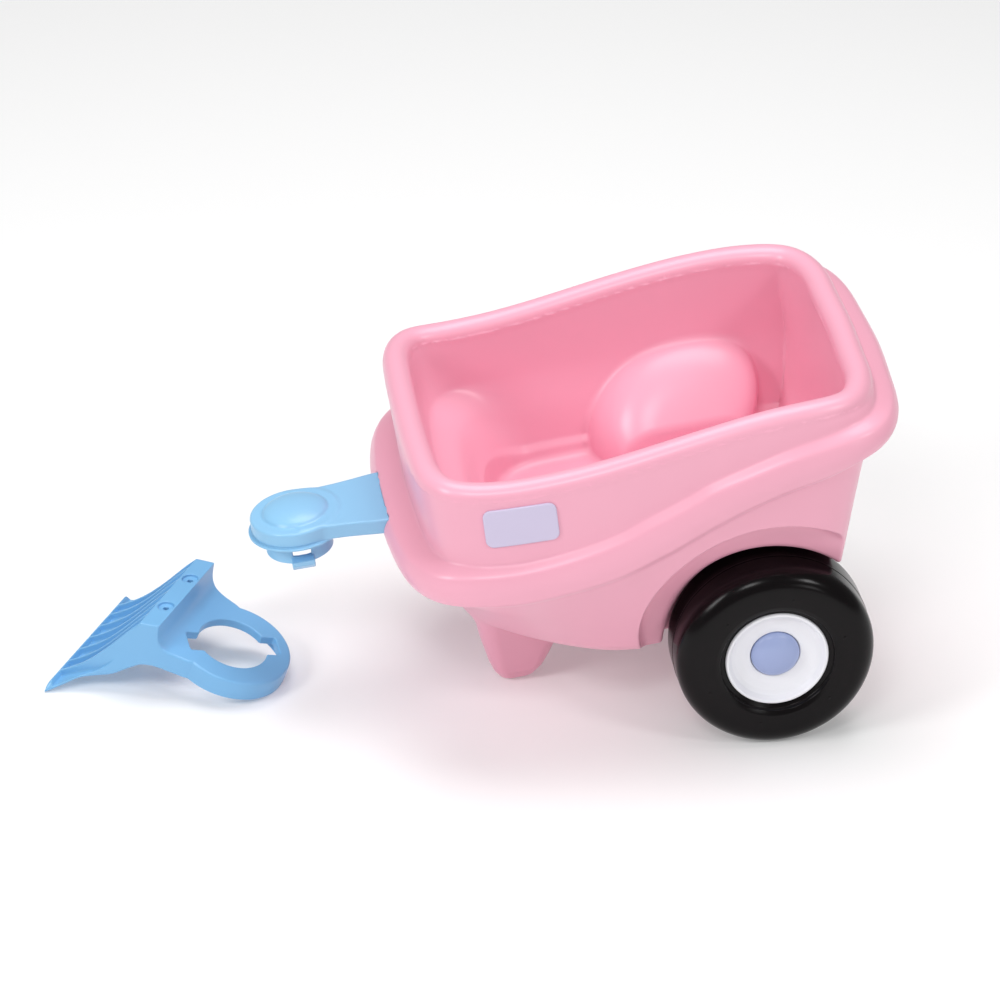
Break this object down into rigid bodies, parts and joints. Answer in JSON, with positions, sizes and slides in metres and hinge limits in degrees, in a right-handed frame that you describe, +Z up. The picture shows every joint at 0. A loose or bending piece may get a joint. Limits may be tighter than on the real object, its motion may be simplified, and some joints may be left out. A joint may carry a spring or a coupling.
{
  "type": "toy trailer",
  "caption": "Open plastic tub trailer for a child's ride-on toy, with a drawbar, free-turning moulded wheels and a separate screw-on hitch bracket that its drawbar head drops into.",
  "frame": {"origin": "middle of the whole set's bounding box in X and Y, on the floor", "axes": "+X points from the drawbar to the trailer's tail, +Z up from the floor; the axle lies along Y"},
  "size_m": [0.7562, 0.3592, 0.3474],
  "materials": {
    "pink_shell": "satin",
    "blue_tongue": "satin",
    "blue_bracket": "satin",
    "black_wheel": "satin",
    "white_hub": "satin",
    "lavender_cap": "satin",
    "steel": "brushed",
    "nylon": "matte",
    "plate": "matte"
  },
  "bodies": {
    "trailer": {"tub": "pink_shell", "tongue": "blue_tongue", "tongue_screws": "steel", "axle_bush_left": "nylon", "axle_bush_right": "nylon", "side_plate_left": "plate", "side_plate_right": "plate"},
    "axle": {"axle_rod": "steel", "push_nut_left": "steel", "push_nut_right": "steel", "outer_washer_left": "steel", "outer_washer_right": "steel", "inner_spacer_left": "nylon", "inner_spacer_right": "nylon"},
    "wheel_left": {"tyre_left": "black_wheel", "wheel_hub_left": "white_hub", "hub_cap_left": "lavender_cap"},
    "wheel_right": {"tyre_right": "black_wheel", "wheel_hub_right": "white_hub", "hub_cap_right": "lavender_cap"},
    "bracket": {"hitch_bracket": "blue_bracket"}
  },
  "joints": [
    {"name": "axle_spin", "type": "hinge", "parent": "trailer", "child": "axle", "pos_m": [0.26195, 0, 0.089], "axis": [0, 1, 0], "continuous": true},
    {"name": "wheel_left_spin", "type": "hinge", "parent": "axle", "child": "wheel_left", "pos_m": [0.26195, -0.1225, 0.089], "axis": [0, 1, 0], "continuous": true},
    {"name": "wheel_right_spin", "type": "hinge", "parent": "axle", "child": "wheel_right", "pos_m": [0.26195, 0.1225, 0.089], "axis": [0, 1, 0], "continuous": true},
    {"name": "bracket_lift", "type": "slide", "parent": "trailer", "child": "bracket", "axis": [0, 0, 1], "range_m": [0, 0.1]}
  ]
}
